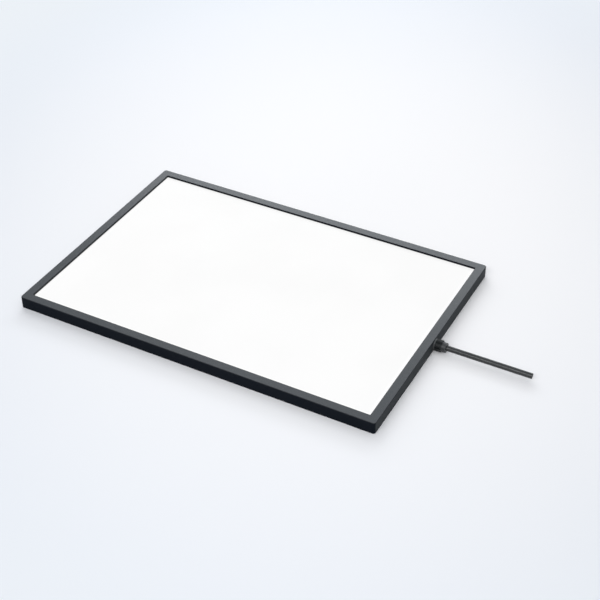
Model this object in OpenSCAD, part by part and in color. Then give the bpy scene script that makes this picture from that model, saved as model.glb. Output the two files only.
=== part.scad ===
// Flat edge-lit LED backlight panel. A milled frame holds a diffuser, a light guide and LED boards,
// a screwed rear cover closes it, and one cable leaves through a gland in a short side.
// It lies on its rear face with the lit window up. X runs along the length, towards the cable,
// Y across the width and Z up from the rear face, which is at the origin.

/* [Panel] */
// Length of the lit window
window_w = 450; // [300:1:900]
// Width of the lit window
window_d = 300; // [200:1:600]
// Width of the frame border around the window
bezel_w = 11; // [9.6:0.1:16]
// Overall height, from the rear face to the bezel face
panel_h = 15.6; // [14:0.1:24]
// Radius of the four upright outer corners
corner_r = 3.4; // [1:0.1:4]
// Chamfer along the outer edges of the frame
edge_chamfer = 0.5; // [0.2:0.05:0.9]

/* [Frame] */
// Thickness of the side walls
wall_t = 6; // [5:0.1:6.6]
// Thickness of the bezel lip above the diffuser
lip_t = 2.2; // [1.5:0.1:4]
// Corner radius of the window
window_r = 1; // [0.5:0.1:3]
// Chamfer along the window's upper edge
window_chamfer = 0.3; // [0.1:0.05:0.6]
// Corner radius of the inner pocket
pocket_r = 3; // [1:0.1:5]
// Wall left outside the rear cover
skin_t = 2.2; // [1.5:0.1:2.6]
// Radius of the screw bosses
boss_r = 3; // [2.4:0.1:3.4]

/* [Rear cover] */
// Thickness of the rear cover
cover_t = 2; // [1.5:0.1:3]
// Corner radius of the rear cover
cover_r = 2.5; // [1:0.1:5]
// Nominal diameter of the cover screws
cover_screw_d = 2.5; // [2:0.1:3]
// Head diameter of the cover screws
cover_head_d = 4.7; // [4:0.1:5]
// Length of the cover screws
cover_screw_len = 8; // [5:0.5:9]
// Key width of the cover screws
cover_key = 1.5; // [1.2:0.1:2]
// Depth of the key socket
cover_key_depth = 0.9; // [0.5:0.1:1.2]
// Distance of the cover screws on the short sides from the middle
cover_screw_y = 80; // [40:1:120]
// Nominal thread diameter of the mounting inserts
insert_thread_d = 4; // [3:0.5:5]
// Diameter of the insert's shank in the cover
insert_shank_d = 6; // [5.6:0.1:7]
// Diameter of the insert's inner flange
insert_flange_d = 8; // [7.4:0.1:10]
// Height of the insert's inner flange
insert_flange_t = 2.2; // [1:0.1:3]
// Spacing of the inserts along the length
insert_span_x = 400; // [150:1:404]
// Spacing of the inserts across the width
insert_span_y = 250; // [100:1:256]

/* [Optical stack] */
// Thickness of the foam gasket under the lip
gasket_t = 0.4; // [0.2:0.1:1]
// Distance of the gasket back from the window's edge
gasket_set = 0.6; // [0.2:0.1:1]
// Thickness of the diffuser plate
diffuser_t = 2; // [1:0.1:3]
// Thickness of the diffusing film
film_t = 0.3; // [0.1:0.05:0.5]
// Thickness of the light guide
guide_t = 4; // [3:0.1:5]
// Thickness of the white tape on the guide's unlit edges
edge_tape_t = 0.15; // [0.1:0.05:0.3]
// Thickness of the reflector sheet
reflector_t = 0.3; // [0.2:0.05:0.5]
// Width of the free channel between the short walls and the guide
channel_w = 2.7; // [2.4:0.1:4]
// Distance of the foam backing in from the sheets' edges
foam_inset = 14; // [12:0.5:20]
// Length of each guide bumper
bumper_len = 12; // [6:0.5:20]
// Distance of the guide bumpers from the middle
bumper_y = 110; // [95:1:140]

/* [LED boards] */
// Thickness of the thermal tape
thermal_tape_t = 0.2; // [0.1:0.05:0.5]
// Thickness of an LED board
board_t = 1; // [0.8:0.1:1.6]
// Gap above and below an LED board
board_gap = 0.4; // [0.2:0.1:0.8]
// Gap between the end of a board and a screw boss
board_end_gap = 1.5; // [0.5:0.1:3]
// Pitch of the LEDs
led_pitch = 12; // [6:0.5:25]
// Least distance from an LED's middle to the end of its board
led_end = 6; // [4:0.5:12]
// Length of an LED
led_w = 3; // [2:0.1:4]
// Height of an LED across the board
led_d = 1.4; // [1:0.1:2.8]
// Thickness of an LED out of the board
led_h = 0.8; // [0.6:0.05:1.2]
// Depth of the phosphor pocket in an LED
led_pocket = 0.2; // [0.1:0.05:0.4]
// Wall around the phosphor pocket
led_rim = 0.25; // [0.15:0.05:0.4]
// Gap between the LEDs and the light guide
led_gap = 0.7; // [0.3:0.1:1.2]
// Nominal diameter of the board screws
board_screw_d = 2; // [1.6:0.1:2.5]
// Head diameter of the board screws
board_head_d = 3.5; // [3:0.1:4]
// Head height of the board screws
board_head_h = 1.3; // [1:0.1:1.4]
// Length of the board screws under the head
board_screw_len = 5; // [3:0.5:5.5]
// Distance of the board screws from the board's ends
board_screw_end = 12; // [6:0.5:16]
// Height of the board screws above the rear cover
board_screw_rise = 2.5; // [2.2:0.1:3]
// Length of a series resistor
resistor_w = 3.2; // [2:0.1:4]
// Width of a series resistor
resistor_d = 1.6; // [1:0.1:2]
// Thickness of a series resistor
resistor_h = 0.6; // [0.4:0.05:0.7]
// Series resistors on each board
resistor_count = 3; // [1:1:5]

/* [Wiring] */
// Diameter of the cable
cable_d = 6.6; // [4:0.1:7]
// Diameter of an insulated core
core_d = 1.2; // [0.8:0.1:1.3]
// Pitch of the cores where they leave the sheath
core_pitch = 1.3; // [1.25:0.05:1.6]
// Pitch of two cores that run side by side
run_pitch = 1.6; // [1.4:0.1:2.4]
// Height of the core runs above the rear cover
run_rise = 1.1; // [0.8:0.1:1.6]
// Bend radius of the cores
core_bend = 1.1; // [0.9:0.05:1.2]
// Width of a board connector
connector_w = 7; // [5:0.1:10]
// Depth of a board connector out of the board
connector_d = 3.4; // [2:0.1:5]
// Height of a board connector
connector_h = 3.4; // [2.4:0.1:3.8]
// Distance of a board connector's middle from the board's end
connector_end = 24; // [20:0.5:32]
// Spacing of the two cores in a connector
connector_pitch = 2.5; // [2:0.1:3]

/* [Cable gland] */
// Diameter of the gland's thread in the wall
gland_thread_d = 10; // [8:0.1:10.6]
// Diameter of the flange
gland_flange_d = 14.3; // [12.5:0.1:15]
// Thickness of the flange
gland_flange_t = 1.2; // [0.8:0.1:2]
// Thickness of the flat gasket under the flange
gland_gasket_t = 0.6; // [0.3:0.1:1.5]
// Distance of the flat gasket in from the flange's rim
gland_gasket_set = 0.25; // [0:0.05:0.6]
// Thread diameter of the barrel that takes the nut
gland_barrel_d = 11; // [10:0.1:11.6]
// Length of the barrel
gland_barrel_len = 6.1; // [5:0.1:7]
// Wall of the rubber seal
seal_t = 1.2; // [0.8:0.1:1.3]
// Length of the seal that stands out of the barrel
seal_proud = 0.35; // [0.1:0.05:0.6]
// Thickness of the thrust ring
thrust_t = 0.65; // [0.4:0.05:1]
// Diameter of the nut over its ribs
nut_d = 14.3; // [13.8:0.1:15]
// Length of the nut's fluted grip
grip_len = 7.7; // [7.5:0.1:10]
// Diameter of the nut's nose
nose_d = 11.8; // [10:0.1:12]
// Length of the nut's nose
nose_len = 5.4; // [3:0.1:8]
// Chamfer on the nut's edges
nut_chamfer = 0.5; // [0.2:0.05:0.6]
// Flutes around the grip
flute_count = 6; // [4:1:12]
// Diameter of the cutter for a flute
flute_d = 3.8; // [2:0.1:5]
// Depth of a flute
flute_depth = 0.85; // [0.3:0.05:1]
// Turn of the nut at rest
flute_turn = 25; // [0:1:60]

/* [Clearances] */
// Gap around the rear cover
cover_gap = 0.1; // [0.05:0.01:0.3]
// Gap around screws, threads and pressed pieces
thread_gap = 0.05; // [0.02:0.01:0.1]
// Gap around screw shanks in clearance holes
hole_gap = 0.2; // [0.1:0.05:0.3]
// Depth of the cover screws below the cover
head_sink = 0.1; // [0.05:0.05:0.2]
// Free depth past a screw's tip
tip_gap = 0.5; // [0.2:0.1:1]
// Gap between a boss and the sheets
boss_gap = 0.5; // [0.3:0.1:1]
// Gap between an insert's flange and the foam
foam_gap = 0.6; // [0.3:0.1:1.5]
// Gap between an insert's flange and the cores that pass it
run_gap = 0.5; // [0.3:0.1:1.5]
// Gap around the cable in the gland's bores
bore_gap = 0.2; // [0.1:0.05:0.4]
// Axial gap between flange and nut, and at the thrust ring
axial_gap = 0.1; // [0.05:0.01:0.2]
// Radial gap around the thrust ring
thrust_gap = 0.25; // [0.15:0.05:0.4]

/* [Hidden] */

$fn = 64;
// Extra depth of a cut past the face that it opens
over = 1;

panel_w = window_w + 2 * bezel_w;
panel_d = window_d + 2 * bezel_w;

// Levels of the optical stack, from the lip down
lip_z = panel_h - lip_t;
diffuser_top = lip_z - gasket_t;
film_top = diffuser_top - diffuser_t;
guide_top = film_top - film_t;
guide_z = guide_top - guide_t;
reflector_z = guide_z - reflector_t;

// Outline shared by the diffuser, film, guide and reflector
sheet_inset_x = wall_t + channel_w;
sheet_inset_y = wall_t + thermal_tape_t + board_t + led_h + led_gap;
sheet_w = panel_w - 2 * sheet_inset_x;
sheet_d = panel_d - 2 * sheet_inset_y;

// Screw bosses stand just clear of the sheets: corners, long sides, short sides
boss_x = sheet_w / 2 + boss_gap + boss_r;
boss_y = sheet_d / 2 + boss_gap + boss_r;
screw_spots = [
    for (sx = [-1, 1], sy = [-1, 1]) [sx * boss_x, sy * boss_y],
    for (sy = [-1, 1]) [0, sy * boss_y],
    for (sx = [-1, 1], sy = [-1, 1]) [sx * boss_x, sy * cover_screw_y]
];
cover_head_h = (cover_head_d - cover_screw_d) / 2;
insert_x = insert_span_x / 2;
insert_spots = [for (sx = [-1, 1], sy = [-1, 1]) [sx * insert_x, sy * insert_span_y / 2]];

// LED boards, as drawn in the far right quarter
board_x = boss_r + board_end_gap;
board_len = boss_x - boss_r - board_end_gap - board_x;
board_z = cover_t + board_gap;
board_h = lip_z - board_gap - board_z;
board_back = panel_d / 2 - wall_t - thermal_tape_t;
board_face = board_back - board_t;
board_screw_z = cover_t + board_screw_rise;
board_screw_xs = [board_x + board_screw_end, board_x + board_len - board_screw_end];
led_count = floor((board_len - 2 * led_end) / led_pitch) + 1;
led_x = board_x + (board_len - (led_count - 1) * led_pitch) / 2;
led_z = guide_z + guide_t / 2;
resistor_step = (board_len - 2 * connector_end) / (resistor_count + 1);
resistor_x = board_x + connector_end;
connector_x = board_x + board_len - connector_end;

// Gland, measured along its axis from the wall's outer face
gland_z = panel_h / 2;
flange_end = gland_gasket_t + gland_flange_t;
barrel_end = flange_end + gland_barrel_len;
seal_end = barrel_end + seal_proud;
thrust_start = seal_end + axial_gap;
nut_start = flange_end + axial_gap;
nut_shoulder = thrust_start + thrust_t + axial_gap;
grip_end = nut_start + grip_len;
nose_end = grip_end + nose_len;
cable_r = cable_d / 2;
cable_bore_r = cable_r + bore_gap;
seal_bore_r = cable_r + thread_gap + seal_t + thread_gap;
nut_bore_r = gland_barrel_d / 2 + thread_gap;

// Cores, from the sheath's inner end to the connectors
core_x = panel_w / 2 - wall_t;
drop_x = core_x - (channel_w - edge_tape_t) / 2;
run_z = cover_t + run_rise;
run_y = board_face - connector_d - core_bend - run_pitch;
jumper_reach = boss_r + board_end_gap + core_bend + core_d;
jumper_y = boss_y - boss_r - boss_gap - core_d / 2;

// The cores run midway along the strip beside the foam. They pass the inserts on the side of the bosses
// while there is room, and otherwise on the side of the foam
run_mid = sheet_w / 2 - foam_inset / 2;
run_reach = insert_flange_d / 2 + run_gap + core_d / 2;
run_limit = boss_x - boss_r - boss_gap - core_d / 2 - run_pitch;
run_outer = max(run_mid, insert_x + run_reach);
run_inner = min(run_mid, insert_x - run_reach - run_pitch);
run_x = run_outer <= run_limit ? run_outer : run_inner;

// Route of the free cable from the gland's mouth: straight out, with the slight sag of a stiff stub
cable_route = [
    [0, 0, 0], [7, 0, 0], [14, 0, 0], [21, 0, 0], [28, 0, 0],
    [36, 0, 0], [44, 0, 0], [52, 0, -0.01], [60, 0, -0.02], [68, 0, -0.03],
    [76, 0, -0.04], [83, 0, -0.05], [90, 0, -0.06], [97, 0, -0.08], [103.9, 0, -0.1]
];
cable_sides = 12;
core_sides = 8;
bend_steps = 3;

anodised_black = [0.13, 0.14, 0.15];
steel_black = [0.2, 0.2, 0.21];
steel = [0.72, 0.73, 0.75];
opal_white = [0.98, 0.98, 0.98];
film_white = [0.94, 0.95, 0.96];
clear_acrylic = [0.82, 0.9, 0.93];
sheet_white = [0.96, 0.96, 0.96];
foam_black = [0.08, 0.08, 0.08];
foam_grey = [0.45, 0.46, 0.47];
silicone = [0.8, 0.8, 0.78];
board_white = [0.9, 0.92, 0.9];
phosphor = [0.97, 0.9, 0.45];
tape_grey = [0.6, 0.62, 0.64];
resistor_black = [0.1, 0.1, 0.1];
connector_white = [0.93, 0.92, 0.88];
core_colours = [[0.45, 0.26, 0.14], [0.13, 0.28, 0.65]];
gland_black = [0.17, 0.18, 0.19];
rubber_black = [0.07, 0.07, 0.07];
cable_black = [0.22, 0.23, 0.24];

// Flat slab with round upright corners, centred, from z up by h
module slab(w, d, z, h, r) {
    translate([0, 0, z]) linear_extrude(h) {
        square([w - 2 * r, d], center = true);
        square([w, d - 2 * r], center = true);
        for (sx = [-1, 1], sy = [-1, 1])
            translate([sx * (w / 2 - r), sy * (d / 2 - r)]) circle(r);
    }
}

// Sloped layer on a slab's outline: w, d and r hold at z, and the sides spread by grow over the height h
module sloped_layer(w, d, z, h, r, grow) {
    run_profile = function (s) [[-s / 2, 0], [s / 2, 0], [s / 2 + grow, h], [-s / 2 - grow, h]];
    translate([0, 0, z]) {
        rotate([90, 0, 90]) translate([0, 0, r - w / 2]) linear_extrude(w - 2 * r) polygon(run_profile(d));
        rotate([90, 0, 0]) translate([0, 0, r - d / 2]) linear_extrude(d - 2 * r) polygon(run_profile(w));
        for (sx = [-1, 1], sy = [-1, 1])
            translate([sx * (w / 2 - r), sy * (d / 2 - r), 0]) cylinder(h = h, r1 = r, r2 = r + grow);
    }
}

// Outer body of the frame, with its upper and lower edges chamfered
module frame_blank() {
    c = edge_chamfer;
    sloped_layer(panel_w - 2 * c, panel_d - 2 * c, 0, c, corner_r - c, c);
    slab(panel_w, panel_d, c, panel_h - 2 * c, corner_r);
    sloped_layer(panel_w, panel_d, panel_h - c, c, corner_r, -c);
}

// Places its children on the gland's axis, with local Z pointing out along X
module on_gland_axis() {
    translate([panel_w / 2, 0, gland_z]) rotate([0, 90, 0]) children();
}

// Places its children on an LED board screw's axis, with local Z pointing out through the far wall
module at_board_screws() {
    for (x = board_screw_xs) translate([x, board_face, board_screw_z]) rotate([-90, 0, 0]) children();
}

module to_left() { mirror([1, 0, 0]) children(); }
module to_near() { mirror([0, 1, 0]) children(); }

// Draws its children in all four quarters
module in_quarters() {
    children();
    to_left() children();
    to_near() children();
    to_left() to_near() children();
}

function unit(v) = v / norm(v);
function tangents(p) = [
    for (i = [0 : len(p) - 1]) unit(p[min(i + 1, len(p) - 1)] - p[max(i - 1, 0)])
];
function carried_normals(t, n, i = 0) =
    i == len(t) ? [] :
    let (m = unit(n - (n * t[i]) * t[i])) concat([m], carried_normals(t, m, i + 1));

// Rounds each inner corner of a route by a curve that starts and ends r before and after it
function rounded_route(p, r) = concat(
    [p[0]],
    [
        for (i = [1 : len(p) - 2])
            let (a = p[i] + r * unit(p[i - 1] - p[i]), b = p[i] + r * unit(p[i + 1] - p[i]))
            for (k = [0 : bend_steps])
                let (s = k / bend_steps) (1 - s) * (1 - s) * a + 2 * s * (1 - s) * p[i] + s * s * b
    ],
    [p[len(p) - 1]]
);

// Tube of diameter d swept along the points p, starting with the normal n
module tube(p, d, sides, n) {
    t = tangents(p);
    m = carried_normals(t, n);
    rings = len(p);
    last = (rings - 1) * sides;
    points = [
        for (i = [0 : rings - 1], k = [0 : sides - 1])
            let (a = 360 * k / sides) p[i] + d / 2 * (cos(a) * m[i] + sin(a) * cross(t[i], m[i]))
    ];
    sides_faces = [
        for (i = [0 : rings - 2], k = [0 : sides - 1])
            let (a = i * sides + k, b = i * sides + (k + 1) % sides)
            each [[a, a + sides, b + sides], [a, b + sides, b]]
    ];
    start_faces = [for (k = [1 : sides - 2]) [0, k, k + 1]];
    end_faces = [for (k = [1 : sides - 2]) [last, last + k + 1, last + k]];
    polyhedron(points = points, faces = concat(sides_faces, start_faces, end_faces));
}

module front_frame() {
    color(anodised_black) difference() {
        frame_blank();
        slab(window_w, window_d, lip_z - over, lip_t + 2 * over, window_r);
        sloped_layer(window_w, window_d, panel_h - window_chamfer, window_chamfer + over, window_r,
            window_chamfer + over);
        slab(panel_w - 2 * skin_t, panel_d - 2 * skin_t, -over, cover_t + over, cover_r + cover_gap);
        difference() {
            slab(panel_w - 2 * wall_t, panel_d - 2 * wall_t, cover_t - over,
                lip_z - cover_t + over, pocket_r);
            for (p = screw_spots) translate([p.x, p.y, cover_t]) cylinder(h = lip_z, r = boss_r);
        }
        for (p = screw_spots)
            translate([p.x, p.y, 0])
                cylinder(h = cover_screw_len + tip_gap, d = cover_screw_d + 2 * thread_gap);
        on_gland_axis() translate([0, 0, -wall_t - over])
            cylinder(h = wall_t + 2 * over, d = gland_thread_d + 2 * thread_gap);
        in_quarters() at_board_screws()
            cylinder(h = board_screw_len + tip_gap, d = board_screw_d + 2 * thread_gap);
    }
}

module rear_cover() {
    inset = skin_t + cover_gap;
    head_r = cover_head_d / 2 + thread_gap;
    color(anodised_black) difference() {
        slab(panel_w - 2 * inset, panel_d - 2 * inset, 0, cover_t, cover_r);
        for (p = screw_spots) translate([p.x, p.y, 0]) {
            translate([0, 0, -over]) cylinder(h = head_sink + over, r = head_r);
            translate([0, 0, head_sink])
                cylinder(h = cover_head_h, r1 = head_r, r2 = cover_screw_d / 2 + thread_gap);
            cylinder(h = cover_t + over, d = cover_screw_d + 2 * thread_gap);
        }
        for (p = insert_spots)
            translate([p.x, p.y, -over])
                cylinder(h = cover_t + 2 * over, d = insert_shank_d + 2 * thread_gap);
    }
}

module cover_screws() {
    color(steel_black) for (p = screw_spots) translate([p.x, p.y, 0]) difference() {
        union() {
            translate([0, 0, head_sink])
                cylinder(h = cover_head_h, d1 = cover_head_d, d2 = cover_screw_d);
            translate([0, 0, head_sink + cover_head_h])
                cylinder(h = cover_screw_len - head_sink - cover_head_h, d = cover_screw_d);
        }
        translate([0, 0, head_sink - over])
            cylinder(h = cover_key_depth + over, d = cover_key / cos(30), $fn = 6);
    }
}

module mount_inserts() {
    color(steel) for (p = insert_spots) translate([p.x, p.y, 0]) difference() {
        union() {
            cylinder(h = cover_t, d = insert_shank_d);
            translate([0, 0, cover_t]) cylinder(h = insert_flange_t, d = insert_flange_d);
        }
        translate([0, 0, -over]) cylinder(h = cover_t + insert_flange_t + 2 * over, d = insert_thread_d);
    }
}

// Plain sheet on the shared outline
module sheet(z, t) {
    translate([-sheet_w / 2, -sheet_d / 2, z]) cube([sheet_w, sheet_d, t]);
}

module diffuser_plate() { color(opal_white) sheet(film_top, diffuser_t); }

module bezel_gasket() {
    inner_w = window_w + 2 * gasket_set;
    inner_d = window_d + 2 * gasket_set;
    color(foam_black) difference() {
        sheet(diffuser_top, gasket_t);
        translate([-inner_w / 2, -inner_d / 2, diffuser_top - over])
            cube([inner_w, inner_d, gasket_t + 2 * over]);
    }
}

module diffuser_film() { color(film_white) sheet(guide_top, film_t); }

module light_guide() { color(clear_acrylic) sheet(guide_z, guide_t); }

module edge_reflectors() {
    color(sheet_white) for (x = [sheet_w / 2, -sheet_w / 2 - edge_tape_t])
        translate([x, -sheet_d / 2, guide_z]) cube([edge_tape_t, sheet_d, guide_t]);
}

module reflector_sheet() { color(sheet_white) sheet(reflector_z, reflector_t); }

module foam_backing() {
    foam_w = sheet_w - 2 * foam_inset;
    foam_d = sheet_d - 2 * foam_inset;
    foam_t = reflector_z - cover_t;
    color(foam_grey) difference() {
        translate([-foam_w / 2, -foam_d / 2, cover_t]) cube([foam_w, foam_d, foam_t]);
        for (p = insert_spots)
            translate([p.x, p.y, cover_t - over])
                cylinder(h = foam_t + 2 * over, d = insert_flange_d + 2 * foam_gap);
    }
}

module guide_bumpers() {
    bumper_t = channel_w - edge_tape_t;
    color(silicone) for (sx = [-1, 1], sy = [-1, 1])
        translate([sx * (panel_w / 2 - wall_t - bumper_t / 2), sy * bumper_y, led_z])
            cube([bumper_t, bumper_len, guide_t], center = true);
}

// One LED board with its screw holes
module led_board() {
    color(board_white) difference() {
        translate([board_x, board_face, board_z]) cube([board_len, board_t, board_h]);
        at_board_screws() translate([0, 0, -over])
            cylinder(h = board_t + 2 * over, d = board_screw_d + 2 * hole_gap);
    }
}

module led_board_near_left() { to_near() to_left() led_board(); }
module led_board_near_right() { to_near() led_board(); }
module led_board_far_left() { to_left() led_board(); }
module led_board_far_right() { led_board(); }

// LEDs of one board, each with a phosphor pocket that faces the guide
module led_row() {
    color(phosphor) for (i = [0 : led_count - 1])
        translate([led_x + i * led_pitch, board_face - led_h / 2, led_z]) difference() {
            cube([led_w, led_h, led_d], center = true);
            translate([0, -led_h / 2, 0])
                cube([led_w - 2 * led_rim, 2 * led_pocket, led_d - 2 * led_rim], center = true);
        }
}

// The row on a right board and its copy on the left board
module led_side() {
    led_row();
    to_left() led_row();
}

module leds_near() { to_near() led_side(); }
module leds_far() { led_side(); }

module board_resistors() {
    color(resistor_black) in_quarters() for (i = [1 : resistor_count])
        translate([resistor_x + i * resistor_step - resistor_w / 2, board_face - resistor_h,
            board_screw_z - resistor_d / 2])
            cube([resistor_w, resistor_h, resistor_d]);
}

// Thermal tape behind one board, open around the screws
module tape_strip() {
    color(tape_grey) difference() {
        translate([board_x, board_back, board_z]) cube([board_len, thermal_tape_t, board_h]);
        at_board_screws() cylinder(h = board_t + thermal_tape_t + over, d = board_screw_d + 2 * hole_gap);
    }
}

module tape_side() {
    tape_strip();
    to_left() tape_strip();
}

module thermal_tape_near() { to_near() tape_side(); }
module thermal_tape_far() { tape_side(); }

module board_screws() {
    color(steel) in_quarters() at_board_screws() {
        cylinder(h = board_screw_len, d = board_screw_d);
        translate([0, 0, -board_head_h]) cylinder(h = board_head_h, d = board_head_d);
    }
}

// Connector block on the right board, with a blind socket for each core
module connector() {
    socket_depth = connector_d / 2;
    color(connector_white) difference() {
        translate([connector_x - connector_w / 2, board_face - connector_d, board_z])
            cube([connector_w, connector_d, connector_h]);
        for (s = [-1, 1])
            translate([connector_x + s * connector_pitch / 2, board_face - connector_d - over, run_z])
                rotate([-90, 0, 0]) cylinder(h = socket_depth + over, d = core_d + 2 * hole_gap);
    }
}

module connector_near() { to_near() connector(); }
module connector_far() { connector(); }

// Two wires of a side past the middle boss, one above the other, soldered to both boards
module jumper_pair() {
    for (i = [0, 1]) {
        z = run_z + i * run_pitch;
        route = [
            [jumper_reach, board_face, z], [jumper_reach, jumper_y, z],
            [-jumper_reach, jumper_y, z], [-jumper_reach, board_face, z]
        ];
        color(core_colours[i]) tube(rounded_route(route, core_bend), core_d, core_sides, [0, 0, 1]);
    }
}

module jumper_wires() {
    jumper_pair();
    to_near() jumper_pair();
}

// Two cores of the far side: out of the sheath, down past the guide, along the wall, into the connector
module lead_pair() {
    for (i = [0, 1]) {
        y = (i + 0.5) * core_pitch;
        x = run_x + i * run_pitch;
        turn_y = run_y + i * run_pitch;
        pin_x = connector_x + (i - 0.5) * connector_pitch;
        route = [
            [core_x, y, gland_z], [drop_x, y, gland_z], [drop_x, y, run_z], [x, y, run_z],
            [x, turn_y, run_z], [pin_x, turn_y, run_z], [pin_x, board_face - connector_d / 2, run_z]
        ];
        color(core_colours[i]) tube(rounded_route(route, core_bend), core_d, core_sides, [0, 1, 0]);
    }
}

module lead_wires_near() { to_near() lead_pair(); }
module lead_wires_far() { lead_pair(); }

module gland_gasket() {
    color(rubber_black) on_gland_axis() difference() {
        cylinder(h = gland_gasket_t, d = gland_flange_d - 2 * gland_gasket_set);
        translate([0, 0, -over])
            cylinder(h = gland_gasket_t + 2 * over, d = gland_thread_d + 2 * thread_gap);
    }
}

module gland_body() {
    color(gland_black) on_gland_axis() difference() {
        union() {
            translate([0, 0, -wall_t]) cylinder(h = wall_t + gland_gasket_t, d = gland_thread_d);
            translate([0, 0, gland_gasket_t]) cylinder(h = gland_flange_t, d = gland_flange_d);
            translate([0, 0, flange_end]) cylinder(h = gland_barrel_len, d = gland_barrel_d);
        }
        translate([0, 0, -wall_t - over]) cylinder(h = wall_t + barrel_end + 2 * over, r = cable_bore_r);
        translate([0, 0, flange_end]) cylinder(h = gland_barrel_len + over, r = seal_bore_r);
    }
}

module gland_seal() {
    color(rubber_black) on_gland_axis() translate([0, 0, flange_end]) difference() {
        cylinder(h = seal_end - flange_end, r = seal_bore_r - thread_gap);
        translate([0, 0, -over]) cylinder(h = seal_end - flange_end + 2 * over, r = cable_r + thread_gap);
    }
}

module gland_thrust_ring() {
    color(steel) on_gland_axis() translate([0, 0, thrust_start]) difference() {
        cylinder(h = thrust_t, r = nut_bore_r - thrust_gap);
        translate([0, 0, -over]) cylinder(h = thrust_t + 2 * over, r = cable_bore_r);
    }
}

module gland_nut() {
    nut_r = nut_d / 2;
    nose_r = nose_d / 2;
    c = nut_chamfer;
    color(gland_black) on_gland_axis() difference() {
        rotate_extrude() polygon([
            [nut_bore_r, nut_start], [nut_r - c, nut_start], [nut_r, nut_start + c],
            [nut_r, grip_end - c], [nut_r - c, grip_end], [nose_r, grip_end],
            [nose_r, nose_end - c], [nose_r - c, nose_end],
            [cable_bore_r, nose_end], [cable_bore_r, nut_shoulder], [nut_bore_r, nut_shoulder]
        ]);
        for (i = [0 : flute_count - 1]) rotate(flute_turn + i * 360 / flute_count)
            translate([nut_r - flute_depth + flute_d / 2, 0, nut_start - over])
                cylinder(h = grip_len + over, d = flute_d);
    }
}

module cable_sheath() {
    color(cable_black) on_gland_axis() translate([0, 0, -wall_t])
        cylinder(h = wall_t + nose_end, r = cable_r);
}

module cable_lead() {
    color(cable_black) translate([panel_w / 2 + nose_end, 0, gland_z])
        tube(cable_route, cable_d, cable_sides, [0, 0, 1]);
}

front_frame();
rear_cover();
cover_screws();
mount_inserts();
diffuser_plate();
bezel_gasket();
diffuser_film();
light_guide();
edge_reflectors();
reflector_sheet();
foam_backing();
guide_bumpers();
led_board_near_left();
led_board_near_right();
led_board_far_left();
led_board_far_right();
leds_near();
leds_far();
board_resistors();
thermal_tape_near();
thermal_tape_far();
board_screws();
connector_near();
connector_far();
jumper_wires();
lead_wires_near();
lead_wires_far();
gland_gasket();
gland_body();
gland_seal();
gland_thrust_ring();
gland_nut();
cable_sheath();
cable_lead();
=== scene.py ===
import math

import bmesh
import bpy
from mathutils import Matrix, Vector


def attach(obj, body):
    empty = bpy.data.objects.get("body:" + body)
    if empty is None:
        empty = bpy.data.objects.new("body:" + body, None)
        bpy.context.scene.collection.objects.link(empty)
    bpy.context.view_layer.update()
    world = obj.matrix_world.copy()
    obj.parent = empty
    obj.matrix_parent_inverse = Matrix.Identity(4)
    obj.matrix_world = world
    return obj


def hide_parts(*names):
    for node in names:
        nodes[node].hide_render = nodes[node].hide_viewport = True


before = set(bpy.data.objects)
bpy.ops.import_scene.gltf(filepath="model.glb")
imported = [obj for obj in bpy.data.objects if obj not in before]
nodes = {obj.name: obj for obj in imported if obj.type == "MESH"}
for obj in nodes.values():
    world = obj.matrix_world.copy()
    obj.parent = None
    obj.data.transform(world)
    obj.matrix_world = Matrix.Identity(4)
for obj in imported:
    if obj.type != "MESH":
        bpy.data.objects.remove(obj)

scene = bpy.context.scene
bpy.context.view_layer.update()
mm = 0.001
print("frame loaded:", len(nodes), "nodes")


# camera at the photo's place

photoView = {
    "lens": 77.94,
    "sensor": 36.0,
    "clip": (0.02, 60.0),
    "place": (0.640955, -1.089462, 0.973514),
    "turn": (51.9785, 0.0601, 28.0495),  # degrees about X, Y, Z
}


def makeCamera(look):
    lens = bpy.data.cameras.new("photoCamera")
    lens.lens = look["lens"]
    lens.sensor_width = look["sensor"]
    lens.clip_start, lens.clip_end = look["clip"]
    camera = bpy.data.objects.new("photoCamera", lens)
    camera.location = look["place"]
    camera.rotation_euler = [math.radians(angle) for angle in look["turn"]]
    scene.collection.objects.link(camera)
    scene.camera = camera


makeCamera(photoView)
print("camera placed")


# steps that the made pieces share

def addPiece(name, mesh):
    piece = bpy.data.objects.new(name, mesh)
    scene.collection.objects.link(piece)
    return piece


def smoothByAngle(mesh, degrees):
    mesh.shade_smooth()
    mesh.set_sharp_from_angle(angle=math.radians(degrees))


# free cable: a jacket tube along its route, cut square, with a shallow recess down to the cores

lead = {
    "mouth": (0.251, 0.0, 0.0078),
    "diameter": 6.6 * mm,
    "length": 103.9 * mm,
    "bore": 2.5 * mm,  # inner radius of the jacket
    "recess": 0.9 * mm,  # cut edge down to the filler
    "edge": 0.16 * mm,  # rounding of the cut edge
    "edgeMiddle": 0.3,  # share of the rounding at its middle ring
    "boreEdge": 0.5,  # rounding at the bore, as a share of the outer one
    "sides": 56,
    "smooth": 35,  # degrees
    "route": [  # mm out and up
        (0, 0), (7, 0), (14, 0), (21, 0), (28, 0), (36, 0), (44, 0), (52, -0.01),
        (60, -0.02), (68, -0.03), (76, -0.04), (83, -0.05), (90, -0.06), (97, -0.08), (103.9, -0.1),
    ],
}


def leadPath(look):
    x0, y0, z0 = look["mouth"]
    return [Vector((x0 + x * mm, y0, z0 + z * mm)) for x, z in look["route"]]


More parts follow.
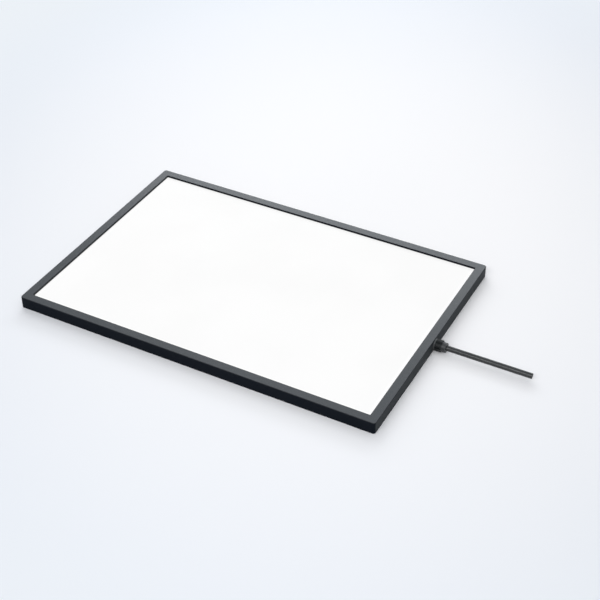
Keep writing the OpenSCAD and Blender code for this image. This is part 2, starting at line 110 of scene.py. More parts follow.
def makeLead(look):
    path = leadPath(look)
    full, bore, edge = look["diameter"] / 2, look["bore"], look["edge"]
    middle, inner = edge * look["edgeMiddle"], edge * look["boreEdge"]
    end = path[-1]
    back = (path[-2] - end).normalized()
    rings = [(spot, full) for spot in path[:-1]]
    rings += [(end + back * edge, full), (end + back * middle, full - middle), (end, full - edge)]
    rings += [(end, bore + inner), (end + back * inner, bore), (end + back * look["recess"], bore)]
    turns = [2 * math.pi * k / look["sides"] for k in range(look["sides"])]
    work = bmesh.new()
    loops = []
    for spot, radius in rings:
        offsets = [Vector((0, radius * math.cos(a), radius * math.sin(a))) for a in turns]
        loops.append([work.verts.new(spot + offset) for offset in offsets])
    for one, two in zip(loops, loops[1:]):
        for k in range(look["sides"]):
            n = (k + 1) % look["sides"]
            work.faces.new((one[k], one[n], two[n], two[k]))
    work.faces.new(loops[0])
    work.faces.new(loops[-1])
    bmesh.ops.recalc_face_normals(work, faces=work.faces)
    mesh = bpy.data.meshes.new("cableLead")
    work.to_mesh(mesh)
    work.free()
    smoothByAngle(mesh, look["smooth"])
    return addPiece("cableLead", mesh)


cableLead = makeLead(lead)
print("cable made:", len(cableLead.data.polygons), "faces")


# shader maths: a wire is one socket, and sums on wires add Math nodes

def socketOf(sockets, key):
    if isinstance(key, int):
        return sockets[key]
    return next(s for s in sockets if s.name == key and s.enabled)


class Wire:
    def __init__(self, socket):
        self.socket = socket
        self.tree = socket.id_data

    def node(self, kind, settings=None, links=None, out=0):
        made = self.tree.nodes.new(kind)
        for key, value in (settings or {}).items():
            setattr(made, key, value)
        for key, value in (links or {}).items():
            socket = socketOf(made.inputs, key)
            if isinstance(value, Wire):
                self.tree.links.new(value.socket, socket)
            else:
                socket.default_value = value
        return Wire(socketOf(made.outputs, out))

    def maths(self, operation, a, b=0.0):
        return self.node("ShaderNodeMath", {"operation": operation}, {0: a, 1: b})

    def __add__(self, other):
        return self.maths("ADD", self, other)

    def __radd__(self, other):
        return self.maths("ADD", other, self)

    def __sub__(self, other):
        return self.maths("SUBTRACT", self, other)

    def __rsub__(self, other):
        return self.maths("SUBTRACT", other, self)

    def __mul__(self, other):
        return self.maths("MULTIPLY", self, other)

    def __rmul__(self, other):
        return self.maths("MULTIPLY", other, self)

    def __truediv__(self, other):
        return self.maths("DIVIDE", self, other)

    def __rtruediv__(self, other):
        return self.maths("DIVIDE", other, self)

    def __gt__(self, other):
        return self.maths("GREATER_THAN", self, other)

    def __lt__(self, other):
        return self.maths("LESS_THAN", self, other)

    def __abs__(self):
        return self.maths("ABSOLUTE", self)

    def root(self):
        return self.maths("SQRT", self)

    def larger(self, other):
        return self.maths("MAXIMUM", self, other)

    def folded(self, length):
        return self.maths("PINGPONG", self, length)

    def axis(self, name):
        return self.node("ShaderNodeSeparateXYZ", None, {"Vector": self}, name)

    def stretched(self, scale):
        return self.node("ShaderNodeMapping", None, {"Vector": self, "Scale": scale})

    def noise(self, scale, detail=2.0, rough=0.5):
        return self.node("ShaderNodeTexNoise", None,
                         {"Vector": self, "Scale": scale, "Detail": detail, "Roughness": rough})

    def mottle(self, scale):
        return self.noise(scale, detail=4.0, rough=0.6)

    def cells(self, scale):
        return self.node("ShaderNodeTexVoronoi", None, {"Vector": self, "Scale": scale}, "Distance")

    def span(self, low, high, toLow=0.0, toHigh=1.0):
        ends = {"From Min": low, "From Max": high, "To Min": toLow, "To Max": toHigh}
        return self.node("ShaderNodeMapRange", {"interpolation_type": "SMOOTHSTEP"},
                         {"Value": self, **ends})

    def tint(self, colourA, colourB):
        return self.node("ShaderNodeMix", {"data_type": "RGBA"},
                         {"Factor": self, "A": colourA, "B": colourB}, "Result")

    def shade(self, colour):
        return self.node("ShaderNodeMix", {"data_type": "RGBA", "blend_type": "MULTIPLY"},
                         {"Factor": 1.0, "A": colour, "B": self}, "Result")

    def bump(self, distance):
        return self.node("ShaderNodeBump", None,
                         {"Height": self, "Distance": distance, "Strength": 1.0}, "Normal")


midRange = (0.3, 0.7)  # where most of a noise's values lie
wideRange = (0.25, 0.75)  # where nearly all of them lie


def blend(one, two, share):
    return one * share + two * (1 - share)


def solid(r, g, b):
    return (r, g, b, 1.0)


def coordinates(finish, kind):
    return Wire(finish.node_tree.nodes.new("ShaderNodeTexCoord").outputs[kind])


def newFinish(name, **fixed):
    finish = bpy.data.materials.new(name)
    finish.use_nodes = True
    shader = finish.node_tree.nodes["Principled BSDF"]
    for key, value in fixed.items():
        shader.inputs[key.replace("_", " ")].default_value = value
    return finish, shader, coordinates(finish, "Object")


def feed(shader, **wires):
    for key, wire in wires.items():
        wire.tree.links.new(wire.socket, shader.inputs[key.replace("_", " ")])


# one function serves the moulded, rolled, extruded and plated finishes:
# mottled colour, and fine grain in roughness and bump

grainKind = {
    "detail": 3.0,
    "mottleShare": 0.7,  # in the tint, the rest is grain
}


def grainFinish(name, look):
    finish, shader, place = newFinish(name, Metallic=look.get("metal", 0.0), **look.get("fixed", {}))
    grain = place.stretched(look.get("stretch", (1, 1, 1))).noise(look["grain"], grainKind["detail"])
    mottle = place.mottle(look["mottle"])
    patches = blend(mottle, grain, grainKind["mottleShare"])
    feed(shader,
         Base_Color=patches.span(*midRange).tint(look["deep"], look["pale"]),
         Roughness=grain.span(*wideRange, *look["rough"]),
         Normal=grain.bump(look["bump"]))
    return finish


# frame: bead-blasted and black anodised, deepest on the long sides, lighter on the short ends as painted
# light, with its face lighter as painted light over real specks, and sealed with a sheen on its face

frameLook = {
    "deep": solid(0.0013, 0.0031, 0.0066),
    "pale": solid(0.0026, 0.0048, 0.0086),
    "face": (solid(0.0122, 0.0152, 0.0185), solid(0.0196, 0.0238, 0.0286)),  # between and on the specks; lighter than the long sides, painted light from above
    # painted light from the right: the short ends are lighter than the long sides, between and on the
    # specks
    "end": (solid(0.0265, 0.0297, 0.0321), solid(0.0410, 0.0458, 0.0494)),
    # chamfer lighter than the face: edge wear and a painted highlight line
    "wornLitChamfer": solid(0.028, 0.030, 0.034),
    "faceTilt": (0.93, 0.98),  # upward part of the normal, from side to face
    "litEndTilt": (0.85, 0.95),  # lengthwise part of the normal, from long side to the painted-light end
    "chamferTilt": ((0.35, 0.55), (0.85, 0.97)),  # upward part, where the chamfer begins and ends
    "grain": 2600.0,  # per metre, about 0.4 mm
    "mottle": 16.0,
    "sideMottle": 0.6,  # share of the mottle in the sides' tint, the rest is grain
    "roughGrain": 0.6,  # share of the grain in the roughness, the rest is mottle
    "rough": (0.60, 0.70),
    "bump": 0.012 * mm,
    "specular": 0.085,
    "sheen": (0.84, 0.34),  # weight and roughness of the seal on the face
    "sheenMottle": 0.2,  # change of that weight over the mottle
    "speckle": (-0.16, 0.16),  # change of that weight between and on the specks
    "sealIndex": 1.62,
}


def frameFinish(look):
    weight, sheenRough = look["sheen"]
    finish, shader, place = newFinish("blackAnodised", Specular_IOR_Level=look["specular"],
                                      Coat_Roughness=sheenRough, Coat_IOR=look["sealIndex"])
    facing = coordinates(finish, "Normal")
    grain = place.noise(look["grain"])
    mottle = place.mottle(look["mottle"])
    up = facing.axis("Z")
    face = up.span(*look["faceTilt"])
    # short ends: lighter tint painted as light from the right
    end = abs(facing.axis("X")).span(*look["litEndTilt"])
    chamferStart, chamferEnd = look["chamferTilt"]
    # chamfer: lighter tint for edge wear and a painted highlight line
    wornLitChamfer = up.span(*chamferStart) * up.span(*chamferEnd, 1.0, 0.0)
    speck = grain.span(*midRange)
    longSide = blend(mottle, grain, look["sideMottle"]).span(*midRange).tint(look["deep"], look["pale"])
    side = end.tint(longSide, speck.tint(*look["end"]))
    # face: lighter tint painted as light from above, under the real seal
    body = face.tint(side, speck.tint(*look["face"]))
    patches = mottle * look["sheenMottle"] + (weight - look["sheenMottle"] / 2)
    feed(shader,
         Base_Color=wornLitChamfer.tint(body, look["wornLitChamfer"]),
         Coat_Weight=face * (patches + grain.span(*midRange, *look["speckle"])),
         Roughness=blend(grain, mottle, look["roughGrain"]).span(*wideRange, *look["rough"]),
         Normal=grain.bump(look["bump"]))
    return finish


# rear cover: anodised sheet with the rolling grain along X

coverLook = {
    "deep": solid(0.019, 0.0205, 0.0225),
    "pale": solid(0.028, 0.030, 0.033),
    "grain": 60.0,
    "stretch": (1.0, 60.0, 60.0),
    "mottle": 12.0,
    "rough": (0.38, 0.52),
    "bump": 0.010 * mm,
    "fixed": {"Specular_IOR_Level": 0.3},
}


# lit window: opal acrylic with a satin face that glows evenly, a little more at its rim as painted light
# against the lip's shade, and a band of painted shade along the lip

windowLook = {
    "half": (0.225, 0.150),
    "body": (solid(0.44, 0.435, 0.43), solid(0.46, 0.455, 0.45)),
    "glow": (solid(1.0, 0.998, 0.993), solid(0.88, 0.878, 0.873)),  # at the rim, raised as painted light, and inside
    "strength": 0.585,
    "specular": 0.15,
    # painted light: the glow rises within this distance of the rim
    "rimLightReach": (0.0, 6 * mm),
    "lipShade": (0.0, 0.55 * mm),  # painted shade: a dark band where the plate goes under the lip
    "lipShadeTone": solid(0.02, 0.02, 0.02),
    "cloud": (9.0, 3.0),  # scale and detail of the body's tint
    "grain": 1500.0,
    "rough": (0.56, 0.66),
    "bump": 0.006 * mm,
}


def windowFinish(look):
    finish, shader, place = newFinish("opalWindow", Emission_Strength=look["strength"],
                                      Specular_IOR_Level=look["specular"])
    fromSideX = look["half"][0] - abs(place.axis("X"))
    fromSideY = look["half"][1] - abs(place.axis("Y"))
    # rim: painted light that raises the glow near the lip
    rim = fromSideX.span(*look["rimLightReach"]) * fromSideY.span(*look["rimLightReach"])
    # lit: zero in the band of painted shade along the lip
    lit = fromSideX.span(*look["lipShade"]) * fromSideY.span(*look["lipShade"])
    grain = place.noise(look["grain"])
    cloud = place.noise(*look["cloud"])
    feed(shader,
         Base_Color=lit.tint(look["lipShadeTone"], cloud.span(*midRange).tint(*look["body"])),
         Emission_Color=lit.tint(look["lipShadeTone"], rim.tint(*look["glow"])),
         Roughness=grain.span(*midRange, *look["rough"]),
         Normal=grain.bump(look["bump"]))
    return finish


# cable jacket: extruded and satin, with fine lines along its length

jacketLook = {
    "deep": solid(0.0124, 0.0136, 0.0140),
    "pale": solid(0.0176, 0.0188, 0.0192),
    "grain": 80.0,
    "stretch": (1.0, 28.0, 28.0),
    "mottle": 120.0,
    "rough": (0.25, 0.31),
    "bump": 0.006 * mm,
    "fixed": {"IOR": 1.8, "Specular_IOR_Level": 1.0, "Specular_Tint": solid(0.24, 0.24, 0.24)},
}


# gland: black nylon, dull in the flutes, polished on the ribs, the flange and the nose;
# the flange, the nose and the faces that look along the cable are lighter as painted light

nylonLook = {
    "deep": solid(0.006, 0.007, 0.0075),
    "pale": solid(0.010, 0.011, 0.0120),
    # painted highlight: the nose is lighter than the rest
    "noseLight": solid(0.021, 0.0225, 0.0235),
    # painted highlight: the flange is lighter than the rest
    "flangeLight": solid(0.062, 0.066, 0.068),
    "face": solid(0.050, 0.053, 0.055),  # faces that look along the cable, lighter as painted light from that side
    "faceTilt": (0.6, 0.9),  # lengthwise part of the normal, from side to such a face
    "axisHeight": 7.8 * mm,
    "flute": (6.5 * mm, 6.95 * mm),  # radii where the flutes end and the ribs begin
    "nose": (245.5 * mm, 245.7 * mm),  # where the nose begins along X
    "flange": (237.9 * mm, 238.0 * mm),  # where the flange ends along X
    "grain": (4200.0, 3.0),  # scale and detail
    "mottle": 300.0,
    "rough": (0.50, 0.62),
    "bump": 0.010 * mm,
    "specular": 0.10,
    "ribPolish": 0.22,
    "flangePolish": 0.80,
    "nosePolish": 0.8,
    "skinRough": 0.42,
}


def nylonFinish(look):
    finish, shader, place = newFinish("glandNylon", Specular_IOR_Level=look["specular"],
                                      Coat_Roughness=look["skinRough"])
    x, y = place.axis("X"), place.axis("Y")
    z = place.axis("Z") - look["axisHeight"]
    facing = coordinates(finish, "Normal")
    ribPolish = x.span(*look["flange"], look["flangePolish"], look["ribPolish"])
    rib = (y * y + z * z).root().span(*look["flute"]) * ribPolish
    nose = x.span(*look["nose"], 0.0, look["nosePolish"])
    grain = place.noise(*look["grain"])
    skin = place.mottle(look["mottle"]).span(*midRange).tint(look["deep"], look["pale"])
    # painted highlight on the flange
    skin = x.span(*look["flange"]).tint(look["flangeLight"], skin)
    # painted highlight on the nose
    skin = x.span(*look["nose"]).tint(skin, look["noseLight"])
    feed(shader,
         # faces that look along the cable: lighter as painted light
         Base_Color=facing.axis("X").span(*look["faceTilt"]).tint(skin, look["face"]),
         Coat_Weight=rib.larger(nose),
         Roughness=grain.span(*wideRange, *look["rough"]),
         Normal=grain.bump(look["bump"]))
    return finish


# small and inner pieces

rubberLook = {
    "deep": solid(0.014, 0.014, 0.014),
    "pale": solid(0.022, 0.022, 0.023),
    "grain": 2500.0,
    "mottle": 220.0,
    "rough": (0.62, 0.78),
    "bump": 0.015 * mm,
}

screwLook = {  # black oxide on steel
    "deep": solid(0.030, 0.030, 0.032),
    "pale": solid(0.065, 0.065, 0.068),
    "grain": 3000.0,
    "mottle": 500.0,
    "rough": (0.30, 0.46),
    "bump": 0.008 * mm,
    "metal": 1.0,
}

steelLook = {  # inserts, board screws and thrust ring
    "deep": solid(0.50, 0.51, 0.53),
    "pale": solid(0.64, 0.65, 0.67),
    "grain": 2200.0,
    "mottle": 400.0,
    "rough": (0.24, 0.38),
    "bump": 0.006 * mm,
    "metal": 1.0,
}

filmLook = {
    "deep": solid(0.84, 0.85, 0.87),
    "pale": solid(0.90, 0.91, 0.92),
    "grain": 1800.0,
    "mottle": 20.0,
    "rough": (0.45, 0.60),
    "bump": 0.004 * mm,
}

sheetLook = {  # white reflector sheet and edge tape
    "deep": solid(0.88, 0.88, 0.88),
    "pale": solid(0.94, 0.94, 0.94),
    "grain": 1200.0,
    "mottle": 25.0,
    "rough": (0.50, 0.66),
    "bump": 0.006 * mm,
}

siliconeLook = {
    "deep": solid(0.56, 0.56, 0.54),
    "pale": solid(0.64, 0.64, 0.62),
    "grain": 1600.0,
    "mottle": 150.0,
    "rough": (0.44, 0.60),
    "bump": 0.010 * mm,
}

resistorLook = {
    "deep": solid(0.010, 0.010, 0.011),
    "pale": solid(0.022, 0.022, 0.024),
    "grain": 4000.0,
    "mottle": 700.0,
    "rough": (0.40, 0.55),
    "bump": 0.006 * mm,
}

tapeLook = {
    "deep": solid(0.30, 0.32, 0.34),
    "pale": solid(0.40, 0.42, 0.44),
    "grain": 1400.0,
    "mottle": 60.0,
    "rough": (0.60, 0.76),
    "bump": 0.010 * mm,
}

connectorLook = {
    "deep": solid(0.80, 0.78, 0.70),
    "pale": solid(0.87, 0.85, 0.78),
    "grain": 2600.0,
    "mottle": 200.0,
    "rough": (0.38, 0.50),
    "bump": 0.006 * mm,
}

wireLook = {  # insulation of the inner wires
    "deep": solid(0.14, 0.060, 0.025),
    "pale": solid(0.19, 0.085, 0.035),
    "grain": 900.0,
    "mottle": 90.0,
    "rough": (0.36, 0.48),
    "bump": 0.006 * mm,
}


# foam: closed cells, dark or grey

foamLook = {
    "black": (solid(0.006, 0.006, 0.006), solid(0.016, 0.016, 0.016)),
    "grey": (solid(0.13, 0.135, 0.14), solid(0.20, 0.205, 0.21)),
    "cells": 1100.0,
    "tintRange": (0.1, 0.7),  # distance from a cell's middle, in cells
    "roughRange": (0.0, 0.6),
    "rough": (0.74, 0.92),
    "bump": 0.08 * mm,
}


def foamFinish(name, look, colours):
    finish, shader, place = newFinish(name)
    cell = place.cells(look["cells"])
    feed(shader,
         Base_Color=cell.span(*look["tintRange"]).tint(*colours),
         Roughness=cell.span(*look["roughRange"], *look["rough"]),
         Normal=cell.bump(look["bump"]))
    return finish


# light guide: clear acrylic with a printed dot lattice that thickens away from the LED edges

guideLook = {
    "clear": solid(0.80, 0.87, 0.90),
    "dot": solid(0.94, 0.95, 0.95),
    "rough": (0.06, 0.6),  # clear and on a dot
    "pitch": 4 * mm,
    "smallest": 0.5 * mm,
    "growth": 0.9 * mm,
    "halfDepth": 0.1523,
    "underside": 6.75 * mm,
    "fixed": {"IOR": 1.49, "Transmission_Weight": 0.6},
}


def guideFinish(look):
    finish, shader, place = newFinish("clearGuide", **look["fixed"])
    x, y, z = (place.axis(name) for name in "XYZ")
    cellX = x.folded(look["pitch"] / 2)
    cellY = y.folded(look["pitch"] / 2)
    away = (cellX * cellX + cellY * cellY).root()
    radius = (1 - abs(y) / look["halfDepth"]) * look["growth"] + look["smallest"]
    dot = (away < radius) * (z < look["underside"])
    feed(shader,
         Base_Color=dot.tint(look["clear"], look["dot"]),
         Roughness=dot.span(0.0, 1.0, *look["rough"]))
    return finish


# LED boards: white solder mask over raised traces

boardLook = {
    "mask": solid(0.80, 0.82, 0.80),
    "trace": solid(0.70, 0.74, 0.70),
    "tracePitch": 5.2 * mm,
    "traceEdge": (0.5 * mm, 0.7 * mm),  # from the middle of a trace
    "traceRelief": 0.8,  # share of the traces in the bump, the rest is grain
    "grain": 2400.0,
    "rough": (0.30, 0.44),
    "bump": 0.02 * mm,
}


def boardFinish(look):
    finish, shader, place = newFinish("boardMask")
    trace = place.axis("Z").folded(look["tracePitch"] / 2).span(*look["traceEdge"])
    grain = place.noise(look["grain"])
    feed(shader,
         Base_Color=trace.tint(look["trace"], look["mask"]),
         Roughness=grain.span(*midRange, *look["rough"]),
         Normal=blend(trace, grain, look["traceRelief"]).bump(look["bump"]))
    return finish


# LEDs: white body, phosphor in the pocket

ledLook = {
    "body": solid(0.88, 0.88, 0.86),
    "phosphor": (solid(0.85, 0.66, 0.12), solid(0.92, 0.76, 0.20)),
    "pocketFace": (153.1 * mm, 153.3 * mm),  # distance of the pocket's floor from the middle
    "grain": 5000.0,
    "bump": 0.01 * mm,
    "fixed": {"Roughness": 0.4},
}


def ledFinish(look):
    finish, shader, place = newFinish("ledBody", **look["fixed"])
    out = abs(place.axis("Y"))
    near, far = look["pocketFace"]
    grain = place.noise(look["grain"])
    pocket = (out > near) * (out < far)
    feed(shader,
         Base_Color=pocket.tint(look["body"], grain.span(*midRange).tint(*look["phosphor"])),
         Normal=grain.bump(look["bump"]))
    return finish


# cut cores: dark insulation, brown and blue by quarter, around tinned copper strands

coreLook = {
    "axisHeight": 7.7 * mm,
    "brown": solid(0.060, 0.032, 0.020),
    "blue": solid(0.018, 0.034, 0.085),
    "grain": 2200.0,
    "shadeRange": (0.2, 0.8),
    "shade": (0.82, 1.0),
    "rough": (0.36, 0.5),
    "bump": 0.01 * mm,
}


def coreFinish(look):
    finish, shader, place = newFinish("coreInsulation")
    y = place.axis("Y")
    z = place.axis("Z") - look["axisHeight"]
    grain = place.noise(look["grain"])
    quarter = (y * z > 0.0).tint(look["brown"], look["blue"])
    feed(shader,
         Base_Color=grain.span(*look["shadeRange"], *look["shade"]).shade(quarter),
         Roughness=grain.span(*midRange, *look["rough"]),
         Normal=grain.bump(look["bump"]))
    return finish


strandLook = {
    "deep": solid(0.20, 0.195, 0.19),
    "pale": solid(0.34, 0.335, 0.33),
    "grain": 6000.0,
    "mottle": 1500.0,
    "rough": (0.22, 0.36),
    "bump": 0.004 * mm,
    "metal": 1.0,
}

finishes = {
    "frame": frameFinish(frameLook),
    "cover": grainFinish("rolledCover", coverLook),
    "window": windowFinish(windowLook),
    "jacket": grainFinish("cableJacket", jacketLook),
    "nylon": nylonFinish(nylonLook),
    "rubber": grainFinish("sealRubber", rubberLook),
    "screw": grainFinish("blackOxide", screwLook),
    "steel": grainFinish("zincSteel", steelLook),
    "film": grainFinish("frostFilm", filmLook),
    "sheet": grainFinish("whiteSheet", sheetLook),
    "silicone": grainFinish("siliconePad", siliconeLook),
    "resistor": grainFinish("resistorBody", resistorLook),
    "tape": grainFinish("thermalTape", tapeLook),
    "connector": grainFinish("connectorNylon", connectorLook),
    "wire": grainFinish("wireInsulation", wireLook),
    "blackFoam": foamFinish("gasketFoam", foamLook, foamLook["black"]),
    "greyFoam": foamFinish("backingFoam", foamLook, foamLook["grey"]),
    "guide": guideFinish(guideLook),
    "board": boardFinish(boardLook),
    "led": ledFinish(ledLook),
    "core": coreFinish(coreLook),
    "strand": grainFinish("tinnedStrand", strandLook),
}
print("finishes made:", len(finishes))

finishOf = {
    "frame": ["front_frame"],
    "cover": ["rear_cover"],
    "screw": ["cover_screws"],
    "steel": ["mount_inserts", "board_screws", "gland_thrust_ring"],
    "window": ["diffuser_plate"],
    "blackFoam": ["bezel_gasket"],
    "film": ["diffuser_film"],
    "guide": ["light_guide"],
    "sheet": ["edge_reflectors", "reflector_sheet"],
    "greyFoam": ["foam_backing"],
    "silicone": ["guide_bumpers"],
    "board": ["led_board_near_left", "led_board_near_right", "led_board_far_left", "led_board_far_right"],
    "led": ["leds_near", "leds_far"],
    "resistor": ["board_resistors"],
    "tape": ["thermal_tape_near", "thermal_tape_far"],
    "connector": ["connector_near", "connector_far"],
    "wire": ["jumper_wires", "lead_wires_near", "lead_wires_far"],
    "rubber": ["gland_gasket", "gland_seal"],
    "nylon": ["gland_body", "gland_nut"],
    "jacket": ["cable_sheath", "cable_lead"],
}


def dress(mesh, finish):
    mesh.materials.clear()
    mesh.materials.append(finish)


for key, names in finishOf.items():
    for name in names:
        dress(nodes[name].data, finishes[key])
dress(cableLead.data, finishes["jacket"])
print("nodes dressed:", sum(len(names) for names in finishOf.values()))


# cut end of the cable: four cores in a ring, each a tube of insulation around a bundle of strands

cutEnd = {
    "cores": 4,
    "coreRing": 1.02 * mm,  # middle of the cable to the middle of a core
    "coreRadius": 0.66 * mm,
    "coreBore": 0.42 * mm,
    "coreReach": 0.75 * mm,  # filler to the cut insulation
    "coreSides": 24,
    "strandRadius": 0.078 * mm,
    "strandReach": 0.85 * mm,
    "strandSides": 8,
    "innerStrands": (6, 0.16 * mm),  # strands in a ring and its radius, around one in the middle
    "outerStrands": (12, 0.32 * mm),
    "smooth": 40,  # degrees
}


def newTree(name, sizes):
    tree = bpy.data.node_groups.new(name, "GeometryNodeTree")
    tree.interface.new_socket("Geometry", in_out="INPUT", socket_type="NodeSocketGeometry")
    for size in sizes:
        tree.interface.new_socket(size, in_out="INPUT", socket_type="NodeSocketFloat")
    tree.interface.new_socket("Finish", in_out="INPUT", socket_type="NodeSocketMaterial")
    tree.interface.new_socket("Geometry", in_out="OUTPUT", socket_type="NodeSocketGeometry")
    return tree, Wire(tree.nodes.new("NodeGroupInput").outputs[0])


def inputOf(start, name):
    return Wire(start.socket.node.outputs[name])


def joined(start, first, *others):
    join = start.node("GeometryNodeJoinGeometry", None, {"Geometry": first})
    for other in others:
        start.tree.links.new(other.socket, join.socket.node.inputs[0])
    return join


def coreRingOf(start, shape, count):
    ring = start.node("GeometryNodeMeshCircle", None,
                      {"Vertices": count, "Radius": inputOf(start, "Core ring")})
    turned = start.node("GeometryNodeTransform", None,
                        {"Geometry": ring, "Rotation": (0.0, 0.0, math.pi / count)})
    return start.node("GeometryNodeInstanceOnPoints", None, {"Points": turned, "Instance": shape})


def endTree(start, shape):
    real = start.node("GeometryNodeRealizeInstances", None, {"Geometry": shape})
    done = start.node("GeometryNodeSetMaterial", None,
                      {"Geometry": real, "Material": inputOf(start, "Finish")})
    sink = start.tree.nodes.new("NodeGroupOutput")
    start.tree.links.new(done.socket, sink.inputs[0])


def insulationTree(look):
    tree, start = newTree("coreInsulation", ("Core ring", "Outer", "Bore", "Reach"))
    outer, bore = (start.node("GeometryNodeCurvePrimitiveCircle", None,
                              {"Resolution": look["coreSides"], "Radius": inputOf(start, size)}, "Curve")
                   for size in ("Outer", "Bore"))
    face = start.node("GeometryNodeFillCurve", {"mode": "NGONS"}, {"Curve": joined(start, outer, bore)})
    height = start.node("ShaderNodeCombineXYZ", None, {"Z": inputOf(start, "Reach")})
    raised = start.node("GeometryNodeExtrudeMesh", None,
                        {"Mesh": face, "Offset": height, "Individual": False})
    endTree(start, coreRingOf(start, raised, look["cores"]))
    return tree


def strandTree(look):
    tree, start = newTree("coreStrands", ("Core ring", "Strand", "Reach", "Inner ring", "Outer ring"))
    reach = inputOf(start, "Reach")
    strand = start.node("GeometryNodeMeshCylinder", None,
                        {"Vertices": look["strandSides"], "Radius": inputOf(start, "Strand"),
                         "Depth": reach})
    lift = start.node("ShaderNodeCombineXYZ", None, {"Z": reach * 0.5})
    stood = start.node("GeometryNodeTransform", None, {"Geometry": strand, "Translation": lift})
    inner, outer = (start.node("GeometryNodeMeshCircle", None,
                               {"Vertices": look[ring][0], "Radius": inputOf(start, size)})
                    for ring, size in (("innerStrands", "Inner ring"), ("outerStrands", "Outer ring")))
    middle = start.node("GeometryNodeMeshLine", None, {"Count": 1})
    bundle = start.node("GeometryNodeInstanceOnPoints", None,
                        {"Points": joined(start, inner, outer, middle), "Instance": stood})
    endTree(start, coreRingOf(start, bundle, look["cores"]))
    return tree


def grow(name, tree, values, place):
    holder = addPiece(name, bpy.data.meshes.new(name))
    modifier = holder.modifiers.new("shape", "NODES")
    modifier.node_group = tree
    for item in tree.interface.items_tree:
        if item.in_out == "INPUT" and item.name in values:
            modifier[item.identifier] = values[item.name]
    evaluated = holder.evaluated_get(bpy.context.evaluated_depsgraph_get())
    made = bpy.data.meshes.new_from_object(evaluated)
    holder.modifiers.clear()
    made.transform(place)
    made.name = name
    holder.data = made
    smoothByAngle(made, cutEnd["smooth"])
    return holder


fillerSpot = leadPath(lead)[-1] - Vector((lead["recess"], 0, 0))
alongX = Matrix.Translation(fillerSpot) @ Matrix.Rotation(math.pi / 2, 4, "Y")
coreInsulation = grow("coreInsulation", insulationTree(cutEnd), {
    "Core ring": cutEnd["coreRing"],
    "Outer": cutEnd["coreRadius"],
    "Bore": cutEnd["coreBore"],
    "Reach": cutEnd["coreReach"],
    "Finish": finishes["core"],
}, alongX)
coreStrands = grow("coreStrands", strandTree(cutEnd), {
    "Core ring": cutEnd["coreRing"],
    "Strand": cutEnd["strandRadius"],
    "Reach": cutEnd["strandReach"],
    "Inner ring": cutEnd["innerStrands"][1],
    "Outer ring": cutEnd["outerStrands"][1],
    "Finish": finishes["strand"],
}, alongX)
print("cut end:", len(coreInsulation.data.polygons), "and", len(coreStrands.data.polygons), "faces")

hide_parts("cable_lead")
for piece in (cableLead, coreInsulation, coreStrands):
    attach(piece, "panel")


# stage: pale paper floor, paler round the panel as a painted pool of light and falling off into faint
# blue, that fades into a pale sky, and soft boxes behind, at the back left, in front and above

stageLook = {
    "middle": (0.052, 0.225, 0.0),
    "turn": photoView["turn"][2],  # the fall-off lies along the view, degrees
    "spread": (0.825, 0.982, 1.0),  # metres across and along the view
    "reach": (0.117, 1.046),  # where the fall-off starts and ends, in spreads
    "inner": solid(0.983, 0.976, 0.985),
    "outer": solid(0.745, 0.783, 0.843),
    "horizon": (0.60, 0.97),  # where the floor fades into the sky, in spreads
    "halfSize": 14.0,
    "drop": 0.05 * mm,  # floor below the rear face
    "fixed": {"Roughness": 0.9, "Specular_IOR_Level": 0.0},
    "sky": solid(0.905, 0.95, 1.0),
    "skyLight": 0.25,
    "skyShown": 0.93,
}

lamps = {
    "backBox": {"place": (-0.50, 1.92, 1.05), "size": (1.9, 0.5), "watts": 11.0,
                "colour": (0.93, 0.965, 1.0), "mirrored": True},
    "leftBox": {"place": (-1.226, 1.226, 1.354), "size": (1.8, 1.8), "watts": 16.5,
                "colour": (1.0, 1.0, 1.0), "mirrored": False},
    "frontBox": {"place": (0.42, -1.58, 1.58), "size": (2.0, 0.5), "watts": 26.0,
                 "colour": (1.0, 1.0, 1.0), "mirrored": True},
    "topBox": {"place": (0.20, 0.0, 2.60), "size": (5.0, 5.0), "watts": 28.0,
               "colour": (1.0, 1.0, 1.0), "mirrored": False},
}


def seenDirectly(tree):
    path = tree.nodes.new("ShaderNodeLightPath")
    seen = Wire(path.outputs["Is Camera Ray"])
    for kind in ("Is Glossy Ray", "Is Transmission Ray"):
        seen = seen.larger(Wire(path.outputs[kind]))
    return seen


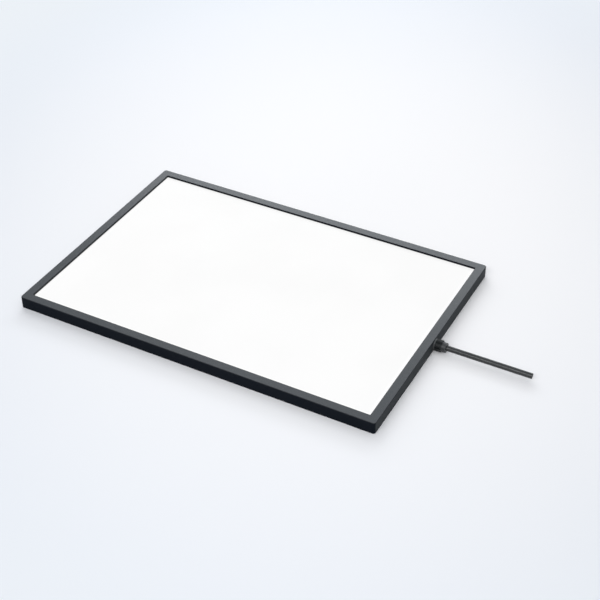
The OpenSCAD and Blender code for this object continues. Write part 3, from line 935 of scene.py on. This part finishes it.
def makeFloor(look):
    half, low = look["halfSize"], -look["drop"]
    corners = [(-half, -half, low), (half, -half, low), (half, half, low), (-half, half, low)]
    mesh = bpy.data.meshes.new("paperFloor")
    mesh.from_pydata(corners, [], [(0, 1, 2, 3)])
    finish, shader, place = newFinish("paperFloor", **look["fixed"])
    laid = place.node("ShaderNodeMapping", {"vector_type": "TEXTURE"},
                      {"Vector": place, "Location": look["middle"],
                       "Rotation": (0.0, 0.0, math.radians(look["turn"])), "Scale": look["spread"]})
    away = laid.node("ShaderNodeVectorMath", {"operation": "LENGTH"}, {0: laid}, "Value")
    # painted pool of light: the paper is paler round the panel and bluer and darker away from it
    feed(shader, Base_Color=away.span(*look["reach"]).tint(look["inner"], look["outer"]))
    glow = place.node("ShaderNodeEmission", None, {"Color": look["sky"], "Strength": look["skyShown"]})
    fade = away.span(*look["horizon"]) * seenDirectly(place.tree)
    both = place.node("ShaderNodeMixShader", None, {0: fade, 1: Wire(shader.outputs[0]), 2: glow})
    place.tree.links.new(both.socket, place.tree.nodes["Material Output"].inputs["Surface"])
    floor = addPiece("paperFloor", mesh)
    dress(mesh, finish)


def makeSky(look):
    world = bpy.data.worlds.new("studioSky")
    scene.world = world
    world.use_nodes = True
    tree = world.node_tree
    backdrop = tree.nodes["Background"]
    backdrop.inputs["Color"].default_value = look["sky"]
    strength = seenDirectly(tree) * (look["skyShown"] - look["skyLight"]) + look["skyLight"]
    tree.links.new(strength.socket, backdrop.inputs["Strength"])


def makeLamp(name, look):
    light = bpy.data.lights.new(name, "AREA")
    light.shape = "RECTANGLE"
    light.energy = look["watts"]
    light.color = look["colour"]
    light.size, light.size_y = look["size"]
    lamp = bpy.data.objects.new(name, light)
    lamp.location = look["place"]
    lamp.rotation_euler = (-Vector(look["place"])).to_track_quat("-Z", "Y").to_euler()
    lamp.visible_camera = False
    lamp.visible_glossy = look["mirrored"]  # whether its reflection shows
    scene.collection.objects.link(lamp)


makeFloor(stageLook)
makeSky(stageLook)
for lampName, lampLook in lamps.items():
    makeLamp(lampName, lampLook)
scene.view_settings.view_transform = "Standard"
print("stage lit:", len(lamps), "lamps")
